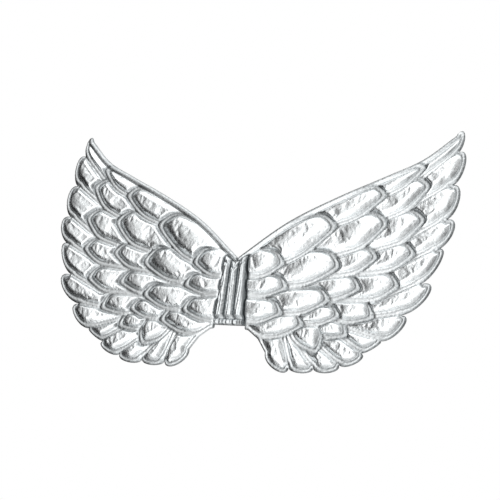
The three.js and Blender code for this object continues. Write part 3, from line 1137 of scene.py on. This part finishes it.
def white_elastic(name, width, length):
    material, tree, shader = material_with(name, ELASTIC_WHITE, metallic=0.0, roughness=MEAN_ROUGHNESS)
    sized = tree.nodes.new("ShaderNodeMapping")
    sized.inputs["Scale"].default_value = (width, length, 1)
    tree.links.new(tree.nodes.new("ShaderNodeTexCoord").outputs["UV"], sized.inputs["Vector"])
    knit = placed_group(tree, weave, sized.outputs["Vector"], thread_scale=1 / ELASTIC_PITCH)["Height"]
    # Painted shade: the colour greys from the thread tops down into the hollows of the knit.
    unshaded_share = spread_between(tree, knit, KNIT_LOW, KNIT_WHITE_FROM, 0, 1)
    tree.links.new(colour_between(tree, unshaded_share, ELASTIC_HOLLOW_SHADE, ELASTIC_TOP), shader.inputs["Base Color"])
    matt = spread_between(tree, knit, KNIT_LOW, KNIT_HIGH, HOLLOW_ROUGHNESS, TOP_ROUGHNESS)
    tree.links.new(matt, shader.inputs["Roughness"])
    tree.links.new(bumped(tree, knit, KNIT_BUMP, KNIT_DEPTH), shader.inputs["Normal"])
    shader.inputs["Sheen Weight"].default_value = ELASTIC_SHEEN
    return material


elastic = white_elastic("white_elastic", STRAP_WIDTH, strap_length)
print("elastic threads", round(ELASTIC_PITCH / MM, 1), "mm apart")

# %% [markdown]
# Each piece now stands for one solid of the frame, which is hidden, takes its material, and rides on the
# only body there is, because nothing on these wings is hinged. The table also lists the record's slot for
# each finish and how full the pads are: the wings and the band are padded, about halfway between slack and
# tight. The loop below uses neither of these two columns.

# %% Hand the pieces over
WING_FILL = 0.5
BAND_FILL = 0.6
PIECES = (
    (right_wing, "right_wing", "silver_cloth", silver, WING_FILL),
    (left_wing, "left_wing", "silver_cloth", silver, WING_FILL),
    (centre_band, "centre_band", "silver_band", band_silver_shaded, BAND_FILL),
    (right_strap, "right_strap", "white_elastic", elastic, None),
    (left_strap, "left_strap", "white_elastic", elastic, None),
)
for piece, node, slot, material, fill in PIECES:
    piece.data.materials.clear()
    piece.data.materials.append(material)
    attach(piece, "root")
    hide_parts(node)
print("pieces", [piece.name for piece, *_ in PIECES])

# %% [markdown]
# A silver thing shows what stands round it, so the light is mostly large soft boxes, hidden from the
# camera. The key stands in front and a little to the left, a dimmer fill goes on from it to the right, and
# a low card lights the undersides of the pads. The left side of the studio is dark, which draws the dark
# crescents on the left wing. The floor is far below, as under something that is held up.

# %% Floor
FLOOR_HEIGHT = -0.95
FLOOR_SIZE = 1.7
FLOOR_GREY = (0.88, 0.88, 0.88)
FLOOR_ROUGHNESS = 0.9
bpy.ops.object.select_all(action="DESELECT")
bpy.ops.mesh.primitive_plane_add(size=FLOOR_SIZE, location=(0, 0, FLOOR_HEIGHT))
floor = bpy.context.object
floor.name = "floor"
floor_paper, _, _ = material_with("floor_paper", FLOOR_GREY, metallic=0.0, roughness=FLOOR_ROUGHNESS)
floor.data.materials.append(floor_paper)
print("floor", FLOOR_SIZE, "m wide")

# %% Light boxes
LIGHT_COLUMNS = ("name", "azimuth", "elevation", "distance", "width", "height", "radiance")
LIGHT_ROWS = (
    ("key_box", -11, 3, 1.7, 0.91, 1.9, 1.02),
    ("fill_box", 23, 3, 1.7, 1.17, 1.9, 0.5),
    ("low_card", -14, -42, 0.8, 0.85, 0.6, 0.88),
    ("top_box", -15, 74, 1.6, 2.0, 1.6, 1.15),
    ("right_box", 82, 18, 1.9, 1.2, 1.4, 0.5),
    ("rear_box", 190, 35, 2.0, 1.4, 1.2, 0.8),
)
LIGHT_AIM = Vector((0, 0, 0.045))


def toward(azimuth, elevation):
    """The way from the wings to a place in the studio; azimuth 0 is in front of the feathers."""
    turn, lift = math.radians(azimuth), math.radians(elevation)
    return Vector((math.sin(turn) * math.cos(lift), -math.cos(turn) * math.cos(lift), math.sin(lift)))


for row in LIGHT_ROWS:
    box = dict(zip(LIGHT_COLUMNS, row))
    lamp = bpy.data.lights.new(box["name"], "AREA")
    lamp.shape = "RECTANGLE"
    lamp.size, lamp.size_y = box["width"], box["height"]
    lamp.energy = box["radiance"] * math.pi * box["width"] * box["height"]
    stand = bpy.data.objects.new(box["name"], lamp)
    away = toward(box["azimuth"], box["elevation"])
    stand.location = LIGHT_AIM + away * box["distance"]
    stand.visible_camera = False
    stand.rotation_euler = away.to_track_quat("Z", "Y").to_euler()
    bpy.context.scene.collection.objects.link(stand)
print("light boxes:", len(LIGHT_ROWS))

# %% [markdown]
# The world fills in what stands between the boxes. It is a grey that darkens towards the left side and a
# little towards the right, drawn by how near a direction is to each of them. The camera itself sees white.

# %% Studio world
DARK_LEFT = (-98, -10)
DARK_LEFT_STOPS = ((0.1, 0.85), (0.45, 0.62), (0.58, 0.17), (0.68, 0.03), (0.88, 0.003))
GREY_RIGHT = (90, 0)
GREY_RIGHT_STOPS = ((0.4, 1.0), (0.75, 0.35))
BACKDROP_WHITE = (1, 1, 1, 1)

world = bpy.data.worlds.new("studio")
bpy.context.scene.world = world
world.use_nodes = True
studio = world.node_tree
studio.nodes.clear()
direction = studio.nodes.new("ShaderNodeTexCoord").outputs["Generated"]


def shade_toward(place, stops):
    """Brightness by how near a direction is to a place in the studio, from stops of cosine and grey."""
    nearness = studio.nodes.new("ShaderNodeVectorMath")
    nearness.operation = "DOT_PRODUCT"
    nearness.inputs[1].default_value = toward(*place)
    studio.links.new(direction, nearness.inputs[0])
    ramp = studio.nodes.new("ShaderNodeValToRGB")
    studio.links.new(nearness.outputs["Value"], ramp.inputs["Fac"])
    ramp.color_ramp.elements.remove(ramp.color_ramp.elements[1])
    for i, (position, grey) in enumerate(stops):
        stop = ramp.color_ramp.elements[0] if i == 0 else ramp.color_ramp.elements.new(position)
        stop.position = position
        stop.color = (grey, grey, grey, 1)
    return ramp.outputs["Color"]


studio_light = studio.nodes.new("ShaderNodeMix")
studio_light.data_type = "RGBA"
studio_light.blend_type = "MULTIPLY"
studio_light.inputs["Factor"].default_value = 1
studio.links.new(shade_toward(DARK_LEFT, DARK_LEFT_STOPS), studio_light.inputs["A"])
studio.links.new(shade_toward(GREY_RIGHT, GREY_RIGHT_STOPS), studio_light.inputs["B"])
surround = studio.nodes.new("ShaderNodeBackground")
studio.links.new(studio_light.outputs["Result"], surround.inputs["Color"])
backdrop = studio.nodes.new("ShaderNodeBackground")
backdrop.inputs["Color"].default_value = BACKDROP_WHITE
choose = studio.nodes.new("ShaderNodeMixShader")
studio.links.new(studio.nodes.new("ShaderNodeLightPath").outputs["Is Camera Ray"], choose.inputs["Fac"])
studio.links.new(surround.outputs["Background"], choose.inputs[1])
studio.links.new(backdrop.outputs["Background"], choose.inputs[2])
studio.links.new(choose.outputs["Shader"], studio.nodes.new("ShaderNodeOutputWorld").inputs["Surface"])
bpy.context.scene.view_settings.view_transform = "Standard"
print("world nodes:", len(studio.nodes))

# %% [markdown]
# The camera stands where the photograph was taken from, in front of the feathers, to their right and a
# little below, and leans as that picture does. A longer lens brings the wings up to fill the frame.

# %% Camera
CAMERA_PLACE = Vector((1.118, -1.660, -0.298))
CAMERA_AIM = Vector((0.012, 0, 0.042))
CAMERA_LEAN = math.radians(7.4)
CAMERA_LENS = 150
camera = bpy.data.objects.new("camera", bpy.data.cameras.new("camera"))
bpy.context.scene.collection.objects.link(camera)
ahead = (CAMERA_AIM - CAMERA_PLACE).normalized()
level_right = ahead.cross(Vector((0, 0, 1))).normalized()
level_up = level_right.cross(ahead)
right = level_right * math.cos(CAMERA_LEAN) + level_up * math.sin(CAMERA_LEAN)
up = level_up * math.cos(CAMERA_LEAN) - level_right * math.sin(CAMERA_LEAN)
turned = Matrix((right, up, -ahead)).transposed()
camera.matrix_world = Matrix.Translation(CAMERA_PLACE) @ turned.to_4x4()
camera.data.lens = CAMERA_LENS
bpy.context.scene.camera = camera
print("camera", round((CAMERA_AIM - CAMERA_PLACE).length, 2), "m away")
